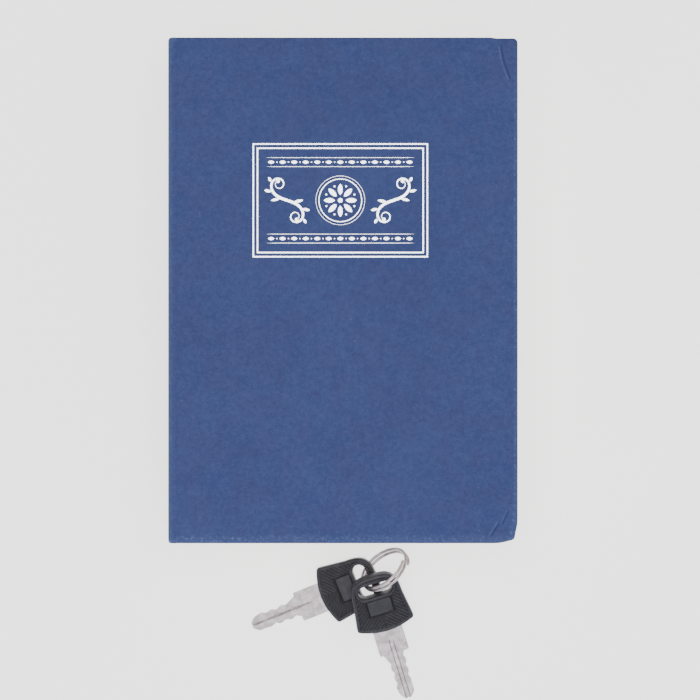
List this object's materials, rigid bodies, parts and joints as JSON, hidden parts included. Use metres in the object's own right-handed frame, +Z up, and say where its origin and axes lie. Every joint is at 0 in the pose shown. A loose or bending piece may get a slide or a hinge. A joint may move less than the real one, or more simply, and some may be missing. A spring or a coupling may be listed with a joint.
{
  "type": "book diversion safe",
  "caption": "Hardback book whose cut-out page block hides a lidded steel cash box with a cam lock, with its two keys on a split ring.",
  "frame": {"origin": "middle of the outer face of the back cover, on which the book lies", "axes": "+X from the spine to the fore edge, +Y to the head of the book, +Z up out of the front cover"},
  "size_m": [0.1244, 0.2424, 0.055],
  "materials": {
    "book_cloth": "mottled blue cloth paper",
    "greyboard": "matte",
    "endpaper": "matte paper",
    "pages": "cut page edges",
    "box_paint": "black powder coat",
    "zinc_steel": "zinc plated",
    "lock_chrome": "polished",
    "key_plastic": "ribbed",
    "key_nickel": "nickel plated"
  },
  "bodies": {
    "book": {"back_cover_board": "greyboard", "back_cover_wrap": "book_cloth", "back_endpaper": "endpaper", "back_joint_cloth": "book_cloth", "front_joint_cloth": "book_cloth", "spine_board": "greyboard", "spine_wrap": "book_cloth", "page_block": "pages", "steel_tray": "box_paint", "head_hinge_box_leaf": "zinc_steel", "head_hinge_pin": "zinc_steel", "tail_hinge_box_leaf": "zinc_steel", "tail_hinge_pin": "zinc_steel", "strike_bracket": "zinc_steel"},
    "front_cover": {"front_cover_board": "greyboard", "front_cover_wrap": "book_cloth", "front_endpaper": "endpaper"},
    "lid": {"steel_lid": "box_paint", "head_hinge_lid_leaf": "zinc_steel", "tail_hinge_lid_leaf": "zinc_steel", "lock_barrel": "lock_chrome", "lock_washer": "zinc_steel", "lock_nut": "zinc_steel"},
    "lock_plug": {"lock_plug": "lock_chrome", "lock_cam": "zinc_steel", "cam_washer": "zinc_steel", "cam_screw": "zinc_steel"},
    "key_ring": {"key_ring": "key_nickel"},
    "left_key": {"left_key_head": "key_plastic", "left_key_blade": "key_nickel"},
    "right_key": {"right_key_head": "key_plastic", "right_key_blade": "key_nickel"}
  },
  "joints": [
    {"name": "cover_hinge", "type": "hinge", "parent": "book", "child": "front_cover", "pos_m": [-0.05925, 0, 0.055], "axis": [0, -1, 0], "range_deg": [0, 180]},
    {"name": "lid_hinge", "type": "hinge", "parent": "book", "child": "lid", "pos_m": [-0.04507, 0, 0.04646], "axis": [0, -1, 0], "range_deg": [0, 105]},
    {"name": "plug_turn", "type": "hinge", "parent": "lid", "child": "lock_plug", "pos_m": [0.02605, 0, 0.0487], "axis": [0, 0, -1], "range_deg": [0, 90]},
    {"name": "keys_lift", "type": "slide", "parent": "book", "child": "key_ring", "axis": [0, 0, 1], "range_m": [0, 0.15]},
    {"name": "left_key_swing", "type": "hinge", "parent": "key_ring", "child": "left_key", "pos_m": [0.00761, -0.10766, 0.0066], "axis": [0, 0, 1], "range_deg": [-10, 6]},
    {"name": "right_key_swing", "type": "hinge", "parent": "key_ring", "child": "right_key", "pos_m": [0.01057, -0.1103, 0.0132], "axis": [0, 0, 1], "range_deg": [-6, 10]}
  ],
  "couplings": [
    {"joint": "lid_hinge", "follows": "cover_hinge", "ratio": 0.58333}
  ]
}
